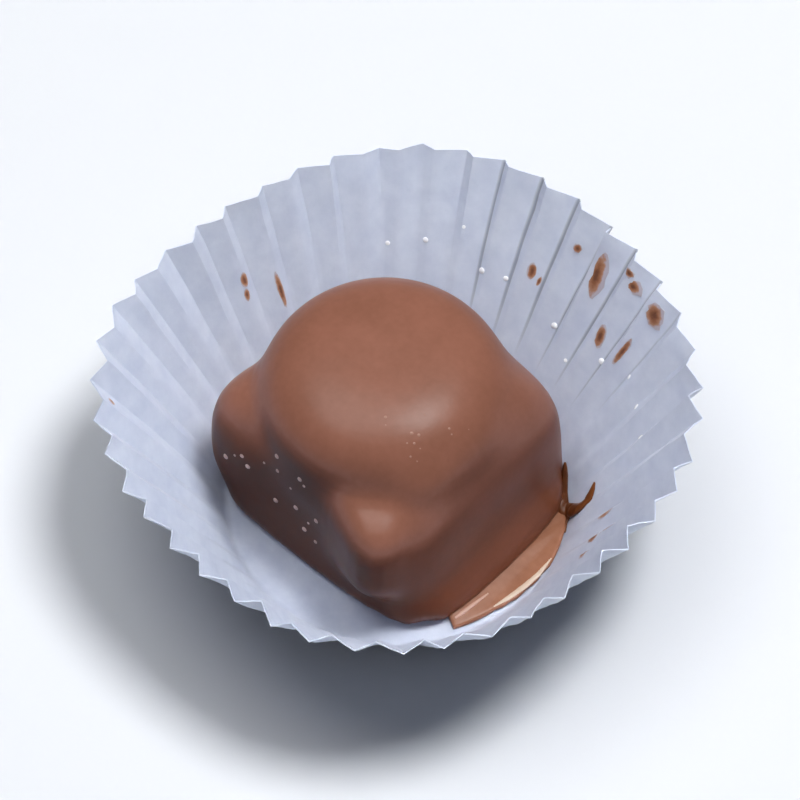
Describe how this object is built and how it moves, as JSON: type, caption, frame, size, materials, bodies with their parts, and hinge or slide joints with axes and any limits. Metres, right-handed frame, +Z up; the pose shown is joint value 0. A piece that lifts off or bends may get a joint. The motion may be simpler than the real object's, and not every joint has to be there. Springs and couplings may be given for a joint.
{
  "type": "chocolate-coated brownie",
  "caption": "Bite-sized square brownie coated in milk chocolate, domed on top, sitting in a flared fluted white paper case.",
  "frame": {"origin": "on the underside of the paper case, at the middle of its flat round base", "axes": "+Z up; +X and +Y square to the sides of the cake; the nosed corner of the cake at +X -Y"},
  "size_m": [0.0584, 0.0598, 0.0229],
  "materials": {
    "milk_chocolate": "satin",
    "greaseproof_paper": "matte"
  },
  "bodies": {
    "root": {"brownie": "milk_chocolate", "paper_case": "greaseproof_paper"}
  },
  "joints": []
}
